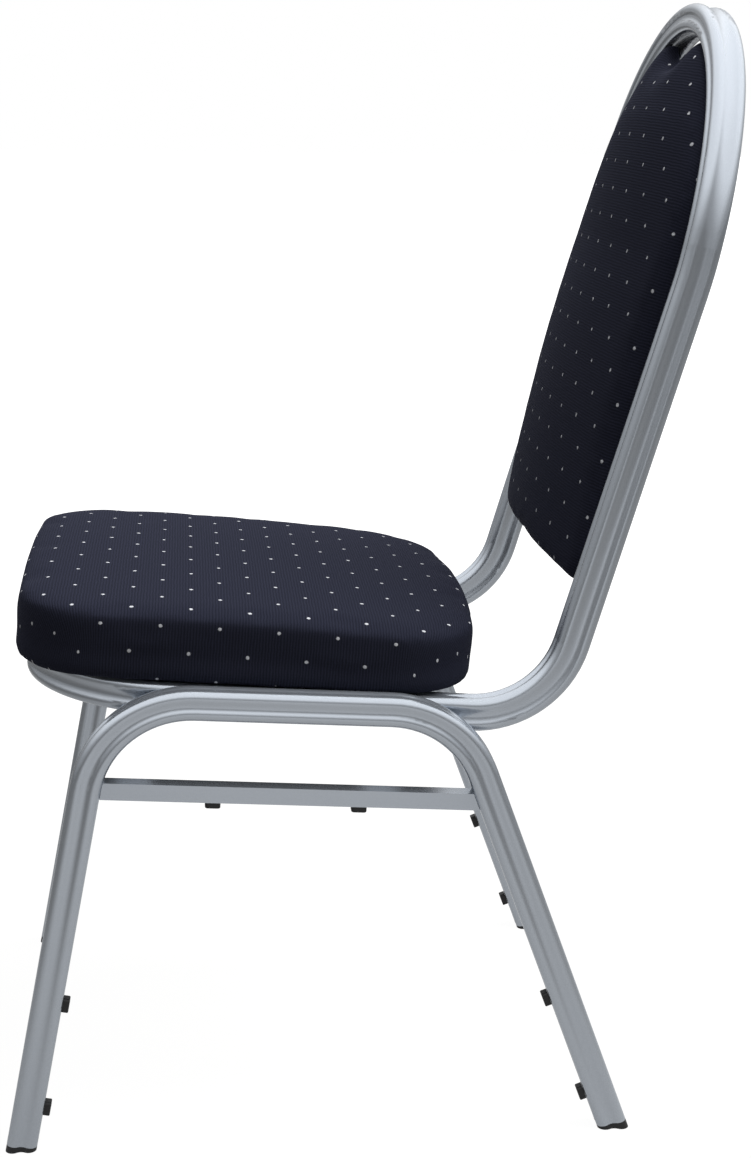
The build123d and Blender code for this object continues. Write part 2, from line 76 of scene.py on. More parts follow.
def colour(code: str) -> tuple[float, float, float, float]:
    """Turn an sRGB hex value into the linear colour that a shader takes.

    Args:
        code: Six hex digits, with or without a leading hash.

    Returns:
        Linear red, green and blue, and an alpha of 1.
    """
    digits = code.lstrip("#")
    channels = [int(digits[i:i + 2], 16) / 255 for i in (0, 2, 4)]
    linear = [c / 12.92 if c <= 0.04045 else ((c + 0.055) / 1.055) ** 2.4 for c in channels]
    return (*linear, 1.0)


def share(value: float, start: float, span: float) -> float:
    """How far a value is along a span, held between 0 and 1."""
    return min(1.0, max(0.0, (value - start) / span))


def add_node(tree: Tree, kind: str, settings: Optional[dict] = None, **inputs) -> bpy.types.Node:
    """Add a shader node with its settings, and set or link its inputs.

    Args:
        tree: The node tree that gets the node.
        kind: The node's type name.
        settings: Properties of the node itself.
        **inputs: A value or an output socket for each input, by name with _ for a space, or i0, i1
            by place.

    Returns:
        The new node.
    """
    node = tree.nodes.new(kind)
    for name, value in (settings or {}).items():
        setattr(node, name, value)
    for name, value in inputs.items():
        place = name[1:]
        socket = node.inputs[int(place) if place.isdigit() else name.replace("_", " ")]
        if isinstance(value, bpy.types.NodeSocket):
            tree.links.new(value, socket)
        else:
            socket.default_value = value
    return node


def maths(tree: Tree, operation: str, *values: Level) -> Socket:
    """Result of a Math node on values or sockets."""
    places = {f"i{number}": value for number, value in enumerate(values)}
    return add_node(tree, "ShaderNodeMath", {"operation": operation}, **places).outputs[0]


def vector_maths(tree: Tree, operation: str, *values: Union[tuple, Socket]) -> Socket:
    """Result of a Vector Math node on vectors or sockets, which is a number for a length."""
    places = {f"i{number}": value for number, value in enumerate(values)}
    node = add_node(tree, "ShaderNodeVectorMath", {"operation": operation}, **places)
    return node.outputs["Value" if operation == "LENGTH" else "Vector"]


def ramp(tree: Tree, value: Socket, source: Span = (0.0, 1.0),
         target: tuple[Level, Level] = (0.0, 1.0)) -> Socket:
    """Map a value from one range to another, and hold it there.

    Args:
        tree: The node tree.
        value: The value to map.
        source: The range that it comes from.
        target: The range that it goes to, as values or sockets.

    Returns:
        The mapped value.
    """
    node = add_node(tree, "ShaderNodeMapRange", None, Value=value, From_Min=source[0],
                    From_Max=source[1], To_Min=target[0], To_Max=target[1])
    return node.outputs[0]


def blend(tree: Tree, amount: Socket, low: Union[tuple, Socket], high: tuple) -> Socket:
    """Mix two colours by an amount from 0 to 1."""
    node = add_node(tree, "ShaderNodeMix", {"data_type": "RGBA"}, i0=amount, i6=low, i7=high)
    return node.outputs[2]


def bump(tree: Tree, height: Socket, depth_mm: float, strength: float) -> Socket:
    """Normal of a surface with a relief of a real depth."""
    node = add_node(tree, "ShaderNodeBump", None, Height=height, Strength=strength, Distance=depth_mm * MM)
    return node.outputs[0]


def object_place(tree: Tree) -> Socket:
    """Place on a piece, in metres."""
    return add_node(tree, "ShaderNodeTexCoord").outputs["Object"]


def noise(tree: Tree, place: Socket, size_mm: float, **inputs: float) -> Socket:
    """Noise of a real size.

    Args:
        tree: The material's node tree.
        place: The place on the piece.
        size_mm: Size of its features.
        **inputs: Other inputs of the noise.

    Returns:
        The noise, from 0 to 1.
    """
    node = add_node(tree, "ShaderNodeTexNoise", None, Vector=place, Scale=1 / (size_mm * MM), **inputs)
    return node.outputs[0]


def new_material(name: str) -> tuple[bpy.types.Material, Tree]:
    """Start a material with nothing in it.

    Args:
        name: The material's name.

    Returns:
        The material and its node tree.
    """
    material = bpy.data.materials.new(name)
    material.use_nodes = True
    material.node_tree.nodes.clear()
    return material, material.node_tree


def surface(tree: Tree, **inputs: Union[float, tuple, Socket]) -> None:
    """Finish a material with a Principled shader that gets these inputs."""
    shader = add_node(tree, "ShaderNodeBsdfPrincipled", None, **inputs)
    add_node(tree, "ShaderNodeOutputMaterial", None, Surface=shader.outputs[0])


@dataclass(frozen=True)
class SilverPaint:
    """Silver metallic paint, sprayed on steel: satin, with fine flake and a faint orange peel."""

    light: str = "#C3CAD3"
    dark: str = "#BBC2CB"
    metallic: float = 0.70
    roughness: Span = (0.20, 0.23)
    flake_mm: float = 0.8
    flake_span: Span = (0.3, 0.7)
    peel_mm: float = 5.0
    peel_depth_mm: float = 0.02
    peel_strength: float = 0.5

    def material(self) -> bpy.types.Material:
        """Make the paint: flake varies its tone and roughness, and orange peel ripples its gloss.

        Returns:
            The material.
        """
        material, tree = new_material("silver_metallic_paint_sprayed")
        place = object_place(tree)
        flake = noise(tree, place, self.flake_mm, Detail=2.0, Roughness=0.7)
        tone = ramp(tree, flake, self.flake_span)
        peel = noise(tree, place, self.peel_mm, Detail=1.0)
        surface(
            tree,
            Base_Color=blend(tree, tone, colour(self.dark), colour(self.light)),
            Metallic=self.metallic,
            Roughness=ramp(tree, flake, self.flake_span, self.roughness),
            Normal=bump(tree, peel, self.peel_depth_mm, self.peel_strength),
        )
        return material


@dataclass(frozen=True)
class PinDotCloth:
    """Ribbed polyester upholstery cloth, navy nearly black, woven with small white pin dots."""

    # shade is the colour of the weave's valleys and rib the colour on its ribs: painted shade between the
    # threads.
    shade: str = "#232530"
    rib: str = "#303241"
    dot: str = "#E4E6EC"
    lattice_mm: float = 47.0
    dot_mm: float = 3.0
    dot_edge: Span = (1.25, 0.7)
    dot_raise: float = 1.5
    # The real ribs are about 1 mm apart; at 2.4 mm they still show in the render.
    rib_mm: float = 2.4
    pick_share: float = 0.15
    weave_span: Span = (0.1, 1.2)
    weave_depth_mm: float = 0.25
    weave_strength: float = 0.6
    slub_mm: float = 9.0
    wander_mm: float = 1.2
    roughness: float = 0.85
    sheen: float = 0.02
    sheen_roughness: float = 0.45
    sheen_tint: str = "#8E99CC"
    specular: float = 0.05

    def material(self) -> bpy.types.Material:
        """Make the cloth on its UV map, which is in metres of cloth.

        Returns:
            The material.
        """
        material, tree = new_material("ribbed_polyester_pin_dot_woven")
        flat = add_node(tree, "ShaderNodeUVMap", {"uv_map": CLOTH_MAP}).outputs[0]
        slub = add_node(tree, "ShaderNodeTexNoise", {"noise_dimensions": "2D"}, Vector=flat,
                        Scale=1 / (self.slub_mm * MM), Detail=2.0).outputs[1]
        wander = self.wander_mm * MM
        cloth = vector_maths(tree, "MULTIPLY_ADD", slub, (wander, wander, 0), flat)
        ribs = self._threads(tree, cloth, Thread.RIB, Distortion=1.0, Detail=2.0, Detail_Scale=2.0)
        picks = self._threads(tree, cloth, Thread.PICK, Distortion=2.0, Detail=2.0)
        weave = maths(tree, "MULTIPLY_ADD", picks, self.pick_share, ribs)
        dots = self._dots(tree, cloth)
        # The ground is darker where the weave is low: painted shade in the valleys between the ribs.
        ground = blend(tree, ramp(tree, weave, self.weave_span), colour(self.shade), colour(self.rib))
        height = maths(tree, "MULTIPLY_ADD", dots, self.dot_raise, weave)
        surface(
            tree,
            Base_Color=blend(tree, dots, ground, colour(self.dot)),
            Roughness=self.roughness,
            Normal=bump(tree, height, self.weave_depth_mm, self.weave_strength),
            Sheen_Weight=self.sheen,
            Sheen_Roughness=self.sheen_roughness,
            Sheen_Tint=colour(self.sheen_tint),
            Specular_IOR_Level=self.specular,
        )
        return material

    def _threads(self, tree: Tree, cloth: Socket, thread: Thread, **inputs: float) -> Socket:
        """Lay threads across the cloth.

        Args:
            tree: The material's node tree.
            cloth: The place on the cloth, in metres.
            thread: Which threads.
            **inputs: Other inputs of the wave texture.

        Returns:
            The threads' height, from 0 to 1.
        """
        settings = {"wave_type": "BANDS", "bands_direction": thread.value, "wave_profile": "SIN"}
        scale = WAVE_PERIOD / (self.rib_mm * MM)
        return add_node(tree, "ShaderNodeTexWave", settings, Vector=cloth, Scale=scale, **inputs).outputs[1]

    def _dots(self, tree: Tree, cloth: Socket) -> Socket:
        """Lay dots on a square lattice and in the middle of its cells.

        Args:
            tree: The material's node tree.
            cloth: The place on the cloth, in metres.

        Returns:
            A socket that is 1 inside a dot and 0 elsewhere.
        """
        per_metre = 1 / (self.lattice_mm * MM)
        distances = []
        for half in (0.0, 0.5):
            cell = vector_maths(tree, "MULTIPLY_ADD", cloth, (per_metre, per_metre, 0), (half, half, 0))
            part = vector_maths(tree, "FRACTION", cell)
            middle = vector_maths(tree, "SUBTRACT", part, (0.5, 0.5, 0))
            distances.append(vector_maths(tree, "LENGTH", middle))
        nearest = maths(tree, "MINIMUM", *distances)
        radius = self.dot_mm / 2 / self.lattice_mm
        outer, inner = self.dot_edge
        edge = add_node(tree, "ShaderNodeMapRange", {"interpolation_type": "SMOOTHSTEP"}, Value=nearest,
                        From_Min=radius * outer, From_Max=radius * inner)
        return edge.outputs[0]


@dataclass(frozen=True)
class MouldedPlastic:
    """Black polyethylene, moulded: a dull skin with a fine spark texture."""

    dark: str = "#101012"
    # Colour of the raised grit, lighter than its pits.
    raised_grit: str = "#232326"
    roughness: float = 0.52
    grit_mm: float = 0.9
    grit_span: Span = (0.45, 0.8)
    grit_depth_mm: float = 0.06
    grit_strength: float = 0.4

    def material(self) -> bpy.types.Material:
        """Make the plastic, with grit in its tone and its bump.

        Returns:
            The material.
        """
        material, tree = new_material("black_polyethylene_moulded")
        grit = noise(tree, object_place(tree), self.grit_mm, Detail=3.0)
        tone = ramp(tree, grit, self.grit_span)
        surface(
            tree,
            # Lighter where the grit is raised and darker in its pits.
            Base_Color=blend(tree, tone, colour(self.dark), colour(self.raised_grit)),
            Roughness=self.roughness,
            Normal=bump(tree, grit, self.grit_depth_mm, self.grit_strength),
        )
        return material


@dataclass(frozen=True)
class LiningCloth:
    """Black spun-bonded polypropylene under the seat: matt felt with small dimples."""

    dark: str = "#111113"
    light: str = "#222225"
    roughness: float = 0.95
    dimple_mm: float = 2.2
    dimple_depth_mm: float = 0.2
    dimple_strength: float = 0.5

    def material(self) -> bpy.types.Material:
        """Make the felt, dimpled where it was bonded.

        Returns:
            The material.
        """
        material, tree = new_material("black_polypropylene_spun_bonded")
        dimple = add_node(tree, "ShaderNodeTexVoronoi", None, Vector=object_place(tree),
                          Scale=1 / (self.dimple_mm * MM)).outputs[0]
        surface(
            tree,
            Base_Color=blend(tree, dimple, colour(self.dark), colour(self.light)),
            Roughness=self.roughness,
            Normal=bump(tree, dimple, self.dimple_depth_mm, self.dimple_strength),
        )
        return material


@dataclass(frozen=True)
class BirchPlywood:
    """Birch plywood with a faint long grain: sanded and pale, or stained."""

    name: str = "birch_plywood_sanded"
    pale: str = "#CDB083"
    grain: str = "#A9855A"
    roughness: float = 0.7
    grain_mm: float = 6.0
    grain_stretch: tuple[float, float, float] = (1, 0.08, 1)
    grain_depth_mm: float = 0.1
    grain_strength: float = 0.2

    def material(self) -> bpy.types.Material:
        """Make the wood, with its grain stretched along Y.

        Returns:
            The material.
        """
        material, tree = new_material(self.name)
        along = add_node(tree, "ShaderNodeMapping", None, Vector=object_place(tree),
                         Scale=self.grain_stretch)
        grain = noise(tree, along.outputs[0], self.grain_mm, Detail=4.0)
        surface(
            tree,
            Base_Color=blend(tree, grain, colour(self.pale), colour(self.grain)),
            Roughness=self.roughness,
            Normal=bump(tree, grain, self.grain_depth_mm, self.grain_strength),
        )
        return material


@dataclass(frozen=True)
class ZincPlate:
    """Zinc-plated steel screws and nuts: bright, a little cloudy."""

    light: str = "#C9CBCB"
    dark: str = "#9A9C9E"
    roughness: Span = (0.25, 0.5)
    cloud_mm: float = 3.0

    def material(self) -> bpy.types.Material:
        """Make the plating, cloudy in tone and gloss.

        Returns:
            The material.
        """
        material, tree = new_material("zinc_plated_steel")
        cloud = noise(tree, object_place(tree), self.cloud_mm, Detail=3.0)
        surface(
            tree,
            Base_Color=blend(tree, cloud, colour(self.dark), colour(self.light)),
            Metallic=1.0,
            Roughness=ramp(tree, cloud, target=self.roughness),
        )
        return material


def dress(names: list[str], material: bpy.types.Material) -> None:
    """Give CAD nodes a material.

    Args:
        names: Node names.
        material: The finish that they get.
    """
    for name in names:
        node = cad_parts[name]
        node.data.materials.clear()
        node.data.materials.append(material)
        log.info("dressed %s in %s", name, material.name)


@dataclass
class TubeFrame:
    """Bent tubes, stretchers, cross bars and tabs, all in one paint."""

    finish: SilverPaint = SilverPaint()
    nodes: tuple[str, ...] = (
        "seat_back_tube", "left_leg_tube", "right_leg_tube", "left_stretcher", "right_stretcher",
        "front_cross_bar", "rear_cross_bar", "left_upper_back_tab", "right_upper_back_tab",
        "left_lower_back_tab", "right_lower_back_tab",
    )

    def dress(self) -> None:
        """Paint every tube."""
        dress(list(self.nodes), self.finish.material())


@dataclass
class PlasticFittings:
    """Foot caps and stack bumpers."""

    finish: MouldedPlastic = MouldedPlastic()

    def dress(self) -> None:
        """Give every cap and bumper its plastic."""
        names = [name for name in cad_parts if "bumper" in name or "foot_cap" in name]
        dress(sorted(names), self.finish.material())


@dataclass
class HiddenPieces:
    """Boards, lining and fasteners, which show little until something is taken off."""

    seat_board: BirchPlywood = BirchPlywood()
    # The back board's edge shows in the hand hole, between the cushion and the panel.
    back_board: BirchPlywood = BirchPlywood(
        name="birch_plywood_black_stained", pale="#26242A", grain="#191820",
    )
    lining: LiningCloth = LiningCloth()
    fasteners: ZincPlate = ZincPlate()

    def dress(self) -> None:
        """Give each its own finish."""
        dress(["seat_board"], self.seat_board.material())
        dress(["back_board"], self.back_board.material())
        dress(["seat_lining"], self.lining.material())
        dress(["seat_screws", "seat_tee_nuts", "back_screws"], self.fasteners.material())


@dataclass
class Cushion:
    """A padded piece: the CAD form, remeshed, filled by a cloth simulation and wrapped in cloth.

    Attributes:
        node: The CAD node that it stands for.
        fill: How full it is, from 0 to 1; not used.
        swell_mm: How far the filling may push the cloth out.
        start_in_mm: How far the form is drawn in before it is filled.
        merge_mm: How close the CAD form's points are when they are one.
        voxel_mm: Size of the remesh.
        relax: How often the cloth is relaxed after the remesh, and after the filling.
        relax_share: How far a point then goes to its neighbours' middle.
        frames: Length of the simulation.
        quality: Steps of the simulation in a frame.
        pressure: Pressure of the filling.
        convex: True where the outside is convex, so that the recess for the board can be closed.
        shift_mm: Where the cloth's pattern starts.
        slack: How far below the crown a point still counts as on it.
    """

    node: str
    fill: float = 0.85
    swell_mm: float = 3.0
    start_in_mm: float = 1.2
    merge_mm: float = 0.01
    voxel_mm: float = 4.4
    relax: tuple[int, int] = (1, 2)
    relax_share: float = 0.5
    frames: int = 20
    quality: int = 5
    pressure: float = 4.0
    convex: bool = False
    shift_mm: Span = (0.0, 0.0)
    slack: float = 1 * MM

    def unroll(self, point: Vector) -> Vector:
        """Place on the cloth of a point of the cushion, in metres."""
        raise NotImplementedError

    def freedom(self, point: Vector) -> float:
        """Share of the swelling that a point may have, from 0 to 1."""
        raise NotImplementedError

    def pull(self, point: Vector) -> Vector:
        """How far the cover is pulled at a point before it is filled."""
        raise NotImplementedError

    def build(self, material: bpy.types.Material) -> bpy.types.Object:
        """Args:
            material: The cloth's material.

        Returns:
            The cushion's object.
        """
        piece = self._form()
        self._inflate(piece)
        self._smooth(piece, self.relax[1])
        self._wrap(piece)
        subdivision = piece.modifiers.new("round", "SUBSURF")
        subdivision.levels = 1
        subdivision.render_levels = 1
        piece.data.materials.clear()
        piece.data.materials.append(material)
        for polygon in piece.data.polygons:
            polygon.use_smooth = True
        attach(piece, "root")
        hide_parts(self.node)
        log.info("made %s, %d faces", piece.name, len(piece.data.polygons))
        return piece

    def _form(self) -> bpy.types.Object:
        """Copy the CAD form, merge its triangles, remesh it and pull it into shape.

        Returns:
            The new object.
        """
        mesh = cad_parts[self.node].data.copy()
        piece = bpy.data.objects.new(self.node + "_cover", mesh)
        bpy.context.scene.collection.objects.link(piece)
        work = bmesh.new()
        work.from_mesh(mesh)
        bmesh.ops.remove_doubles(work, verts=work.verts, dist=self.merge_mm * MM)
        if self.convex:
            hull = bmesh.ops.convex_hull(work, input=work.verts)
            spare = [item for item in hull["geom_interior"] if isinstance(item, bmesh.types.BMVert)]
            bmesh.ops.delete(work, geom=spare, context="VERTS")
        bmesh.ops.recalc_face_normals(work, faces=work.faces)
        work.to_mesh(mesh)
        work.free()
        remesh = piece.modifiers.new("remesh", "REMESH")
        remesh.mode = "VOXEL"
        remesh.voxel_size = self.voxel_mm * MM
        self._apply(piece)
        self._smooth(piece, self.relax[0])
        work = bmesh.new()
        work.from_mesh(piece.data)
        for vertex in work.verts:
            vertex.co -= vertex.normal * (self.start_in_mm * MM * self.freedom(vertex.co))
            vertex.co += self.pull(vertex.co)
        work.to_mesh(piece.data)
        work.free()
        return piece

    def _apply(self, piece: bpy.types.Object) -> None:
        """Bake a piece's modifiers into its mesh.

        Args:
            piece: The piece.
        """
        graph = bpy.context.evaluated_depsgraph_get()
        mesh = bpy.data.meshes.new_from_object(piece.evaluated_get(graph))
        piece.modifiers.clear()
        piece.data = mesh

    def _inflate(self, piece: bpy.types.Object) -> None:
        """Fill the cushion with a short cloth simulation, and cap how far each point moves.

        Args:
            piece: The remeshed form.
        """
        rest = [vertex.co.copy() for vertex in piece.data.vertices]
        cloth = piece.modifiers.new("filling", "CLOTH")
        cloth.settings.use_pressure = True
        cloth.settings.uniform_pressure_force = self.pressure
        cloth.settings.effector_weights.gravity = 0
        cloth.settings.quality = self.quality
        cloth.point_cache.frame_start = 1
        cloth.point_cache.frame_end = self.frames
        for step in range(1, self.frames + 1):
            bpy.context.scene.frame_set(step)
        self._apply(piece)
        bpy.context.scene.frame_set(1)
        for vertex, start in zip(piece.data.vertices, rest):
            move = vertex.co - start
            cap = self.swell_mm * MM * self.freedom(start)
            if move.length > cap:
                move *= cap / move.length
            vertex.co = start + move

    def _smooth(self, piece: bpy.types.Object, passes: int) -> None:
        """Relax the cloth.

        Args:
            piece: The cushion.
            passes: How often its points are drawn to their neighbours.
        """
        work = bmesh.new()
        work.from_mesh(piece.data)
        for _ in range(passes):
            bmesh.ops.smooth_vert(work, verts=work.verts, factor=self.relax_share, use_axis_x=True,
                                  use_axis_y=True, use_axis_z=True)
        work.to_mesh(piece.data)
        work.free()

    def _wrap(self, piece: bpy.types.Object) -> None:
        """Lay the cloth's UV map, in metres, over the cushion and down its sides.

        Args:
            piece: The cushion.
        """
        mesh = piece.data
        layer = mesh.uv_layers.new(name=CLOTH_MAP)
        start = Vector(self.shift_mm) * MM
        places = [self.unroll(vertex.co) + start for vertex in mesh.vertices]
        for loop in mesh.loops:
            layer.data[loop.index].uv = places[loop.vertex_index]


@dataclass
class SeatCushion(Cushion):
    """The seat: a thick crowned pad with a pulled-in lower edge, on a slope."""

    node: str = "seat_cushion"
    convex: bool = True
    shift_mm: Span = (6.5, 15.0)
    middle_y: float = -43.1 * MM
    rail_z: float = 372.7 * MM
    pitch: float = radians(4.3)
    base_lift: float = 14.75 * MM
    height: float = 64 * MM
    crown_radius: float = 2800 * MM
    crown_y: float = -106 * MM
    half_width: float = 199.2 * MM
    front: float = -255 * MM
    rear: float = 133 * MM
    corner: float = 73 * MM
    rear_bow: float = 6 * MM
    corner_in: float = 10 * MM
    # Cloth for each metre down the sides, so the pattern is a little closer there.
    tuck: float = 1.06
    held: float = 8 * MM
    freed: float = 14 * MM

    def local(self, point: Vector) -> Vector:
        """Turn a point into the seat's own directions.

        Args:
            point: A point in the shared frame.

        Returns:
            The point across the seat, rearwards along its slope, and above its underside.
        """
        y, z = point.y - self.middle_y, point.z - self.rail_z
        along = y * cos(self.pitch) - z * sin(self.pitch)
        lift = y * sin(self.pitch) + z * cos(self.pitch) - self.base_lift
        return Vector((point.x, along, lift))

    def outward(self, across: float, along: float) -> Vector:
        """Direction out of the seat's plan at its nearest edge.

        Args:
            across: Where across the seat.
            along: Where along it.

        Returns:
            A direction of length 1, across and along.
        """
        centre = (self.front + self.rear) / 2
        half_length = (self.rear - self.front) / 2
        over = Vector((abs(across) - self.half_width + self.corner,
                       abs(along - centre) - half_length + self.corner))
        if over.x > 0 and over.y > 0:
            way = over.normalized()
        elif over.x > over.y:
            way = Vector((1, 0))
        else:
            way = Vector((0, 1))
        return Vector((way.x if across > 0 else -way.x, way.y if along > centre else -way.y))

    def unroll(self, point: Vector) -> Vector:
        """Top of the seat as it lies, and its sides folded out.

        Args:
            point: A point of the cushion.

        Returns:
            Its place on the cloth, in metres.
        """
        here = self.local(point)
        top = self.height - (here.x**2 + (here.y - self.crown_y) ** 2) / (2 * self.crown_radius)
        drop = max(0.0, top - here.z - self.slack)
        way = self.outward(here.x, here.y) * self.tuck
        return Vector((here.x + way.x * drop, here.y + way.y * drop))

    def pull(self, point: Vector) -> Vector:
        """Rearwards in the middle of the rear edge, and inwards at its corners.

        Args:
            point: A point of the cushion.

        Returns:
            How far the point goes.
        """
        here = self.local(point)
        near_rear = share(here.y, self.rear - self.corner, self.corner) ** 2
        bow = self.rear_bow - self.corner_in * (here.x / self.half_width) ** 2
        return Vector((0, bow * near_rear * self.freedom(point), 0))

    def freedom(self, point: Vector) -> float:
        """Free on top and at the sides, held where the seat rests on its board."""
        return share(self.local(point).z, self.held, self.freed)


@dataclass
class BackCushion(Cushion):
    """The back: a pad that fills the arch, crowned both ways, with a dip under the top bar.

    Sizes up the back are from the knee, above which it leans less.
    """

    node: str = "back_cushion"
    knee_y: float = 249.0 * MM
    knee_z: float = 720.7 * MM
    lean: float = radians(16.3)
    arch_lean: float = radians(11.9)
    crown_front: float = 40 * MM
    side_front: float = 25 * MM
    half_width: float = 167.5 * MM
    long_radius: float = 1800 * MM
    middle_rise: float = -44 * MM
    arch_rise: float = 20.4 * MM
    bottom: float = -267.6 * MM
    rim: float = 14 * MM
    top_fill: float = 9 * MM
    fill_span: float = 110 * MM
    lift: float = 7 * MM
    lift_start: float = 130 * MM
    lift_span: float = 40 * MM
    # How much of what would pass the tube is taken off the lift again.
    lift_yield: float = 1.1
    hole_half: float = 45 * MM
    held: float = 4 * MM
    freed: float = 12 * MM

    def local(self, point: Vector) -> Vector:
        """Turn a point into the back's own directions.

        Args:
            point: A point in the shared frame.

        Returns:
            The point across the back, up it, and rearwards from the line of its uprights.
        """
        y, z = point.y - self.knee_y, point.z - self.knee_z
        rise = y * sin(self.lean) + z * cos(self.lean)
        rear = y * cos(self.lean) - z * sin(self.lean)
        return Vector((point.x, rise, rear))

    def behind(self, point: Vector) -> float:
        """How far a point is behind the back's middle line, which leans less above the uprights.

        Args:
            point: A point in the shared frame.

        Returns:
            The distance, less than 0 in front of the line.
        """
        here = self.local(point)
        turn = self.lean - self.arch_lean
        return here.z if here.y < 0 else here.z * cos(turn) + here.y * sin(turn)

    def pull(self, point: Vector) -> Vector:
        """Fuller in front of the arch, and up beside the hand hole as far as the tube lets it go.

        Args:
            point: A point of the cushion.

        Returns:
            How far the point goes.
        """
        here = self.local(point)
        up = share(here.y, 0.0, self.fill_span)
        inside = max(0.0, 1 - (hypot(here.x, here.y - self.arch_rise) / self.half_width) ** 4)
        fuller = Vector((0, -cos(self.lean), sin(self.lean))) * (self.top_fill * up * inside)
        near_top = share(here.y, self.lift_start, self.lift_span)
        near_side = min(1.0, abs(here.x) / self.hole_half) ** 2
        lift = self.lift * near_top * near_side
        past = hypot(here.x, here.y + lift - self.arch_rise) - self.half_width
        lift = max(0.0, lift - max(0.0, past) * self.lift_yield)
        higher = Vector((0, sin(self.arch_lean), cos(self.arch_lean))) * lift
        return higher + fuller * self.freedom(point)

    def front_of(self, across: float, rise: float) -> float:
        """Where the pad's crowned front is, rearwards from the middle line."""
        side = (self.crown_front - self.side_front) * (across / self.half_width) ** 2
        return side + (rise - self.middle_rise) ** 2 / (2 * self.long_radius) - self.crown_front

    def outward(self, across: float, rise: float) -> Vector:
        """Direction out of the pad's outline at its nearest edge.

        Args:
            across: Where across the back.
            rise: Where up it.

        Returns:
            A direction of length 1, across and up.
        """
        above = rise - self.arch_rise
        if above > 0:
            if hypot(across, above) < self.half_width - self.rim:
                return Vector((0, 1))
            return Vector((across, above)).normalized()
        if rise - self.bottom < self.half_width - abs(across):
            return Vector((0, -1))
        return Vector((1 if across > 0 else -1, 0))

    def unroll(self, point: Vector) -> Vector:
        """Front of the pad as it lies, and its edges folded out.

        Args:
            point: A point of the cushion.

        Returns:
            Its place on the cloth, in metres.
        """
        here = self.local(point)
        drop = max(0.0, here.z - self.front_of(here.x, here.y) - self.slack)
        way = self.outward(here.x, here.y)
        return Vector((here.x + way.x * drop, here.y + way.y * drop))

    def freedom(self, point: Vector) -> float:
        """Free in front, held where the pad lies on its board."""
        return share(-self.behind(point), self.held, self.freed)


@dataclass
class RearPanel(BackCushion):
    """The upholstered panel behind the back: thin, and gently crowned across."""

    node: str = "back_rear_panel"
    fill: float = 0.5
    swell_mm: float = 1.2
    start_in_mm: float = 0.5
    voxel_mm: float = 4.0
    loose: float = 0.5

    def unroll(self, point: Vector) -> Vector:
        """Back of the panel as it lies."""
        return self.local(point).to_2d()

    def pull(self, point: Vector) -> Vector:
        """Nowhere: the panel keeps the board's outline."""
        return Vector()

    def freedom(self, point: Vector) -> float:
        """The same all over, because the panel is thin."""
        return self.loose


